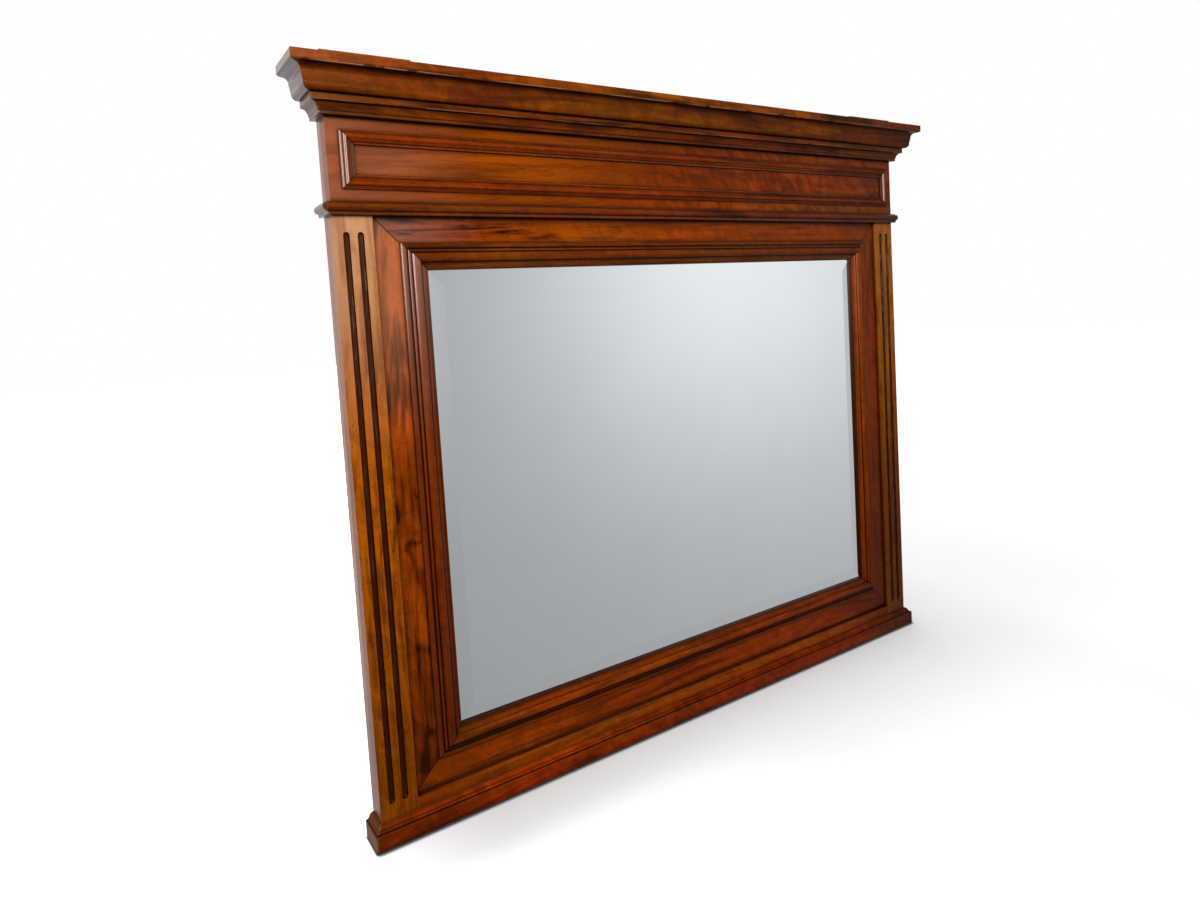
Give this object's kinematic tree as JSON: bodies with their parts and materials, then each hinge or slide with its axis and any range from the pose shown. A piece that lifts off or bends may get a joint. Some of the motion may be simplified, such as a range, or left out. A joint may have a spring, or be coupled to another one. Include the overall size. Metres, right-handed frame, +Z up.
{
  "type": "beveled mirror",
  "caption": "Wide beveled mirror in a polished walnut overmantel frame with fluted pilasters, a panelled frieze, a projecting crown and a moulded base.",
  "frame": {"origin": "on the floor under the middle of the whole object, seen from above", "axes": "+X along the width to the right as seen from the front, the front faces -Y, +Z up"},
  "size_m": [1.37, 0.091, 1.19],
  "materials": {
    "polished_walnut": "French polished, warm red-brown",
    "pine": "plain planed pine, aged",
    "beech": "plain beech",
    "mirror_glass": "silvered plate with a polished bevel",
    "brass_plate": "dull rolled brass",
    "screw_steel": "plain steel, slightly dulled"
  },
  "bodies": {
    "root": {"astragal_front": "polished_walnut", "astragal_return_left": "polished_walnut", "astragal_return_right": "polished_walnut", "back_board_1": "pine", "back_board_2": "pine", "back_board_3": "pine", "back_board_4": "pine", "back_board_5": "pine", "back_board_screws": "screw_steel", "base_moulding_front": "polished_walnut", "base_moulding_return_left": "polished_walnut", "base_moulding_return_right": "polished_walnut", "bed_moulding_front": "polished_walnut", "bed_moulding_return_left": "polished_walnut", "bed_moulding_return_right": "polished_walnut", "carcase_rail_bottom": "pine", "carcase_rail_top": "pine", "carcase_screws": "screw_steel", "crown_block_left": "polished_walnut", "crown_block_right": "polished_walnut", "crown_moulding_front": "polished_walnut", "crown_moulding_return_left": "polished_walnut", "crown_moulding_return_right": "polished_walnut", "dowels": "beech", "frame_bottom": "polished_walnut", "frame_left": "polished_walnut", "frame_right": "polished_walnut", "frame_top": "polished_walnut", "frieze_board": "polished_walnut", "glazing_fillet_bottom": "pine", "glazing_fillet_left": "pine", "glazing_fillet_right": "pine", "glazing_fillet_top": "pine", "glazing_pins": "screw_steel", "glue_blocks_left": "pine", "glue_blocks_right": "pine", "lower_rail": "polished_walnut", "mirror_plate": "mirror_glass", "mitre_keys": "beech", "panel_moulding_bottom": "polished_walnut", "panel_moulding_left": "polished_walnut", "panel_moulding_right": "polished_walnut", "panel_moulding_top": "polished_walnut", "pilaster_left": "polished_walnut", "pilaster_right": "polished_walnut", "setting_blocks": "beech", "side_left": "polished_walnut", "side_right": "polished_walnut", "sight_moulding_bottom": "polished_walnut", "sight_moulding_left": "polished_walnut", "sight_moulding_right": "polished_walnut", "sight_moulding_top": "polished_walnut", "wall_plate_left": "brass_plate", "wall_plate_right": "brass_plate", "wall_plate_screws": "screw_steel"}
  },
  "joints": []
}
